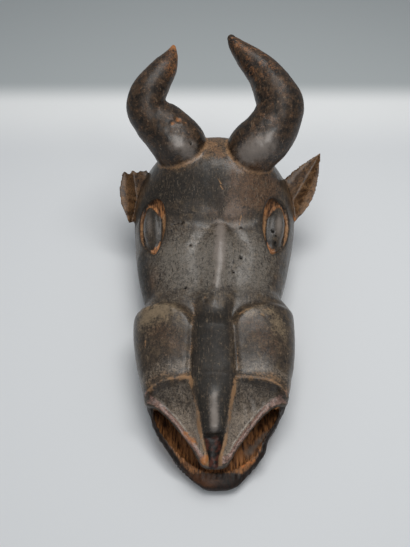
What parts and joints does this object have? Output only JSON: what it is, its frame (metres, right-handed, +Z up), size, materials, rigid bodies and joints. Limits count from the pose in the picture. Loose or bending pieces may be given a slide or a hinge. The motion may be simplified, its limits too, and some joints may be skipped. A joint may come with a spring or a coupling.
{
  "type": "buffalo helmet mask",
  "caption": "Carved wooden buffalo head helmet mask, hollow below and open at the mouth, with horns, ears, raised eyes and a ridged muzzle, lying on its rim.",
  "frame": {"origin": "middle of the box in X and Y, on the surface that the mask lies on", "axes": "+Y from the front of the muzzle to the back of the head, +X to the right seen from the muzzle, +Z up out of the forehead and along the horns"},
  "size_m": [0.3084, 0.5466, 0.2912],
  "materials": {
    "carved_wood": "dark handled patina with a waxy sheen, worn to orange-brown wood on raised edges and in recesses"
  },
  "bodies": {
    "root": {"mask": "carved_wood"}
  },
  "joints": []
}
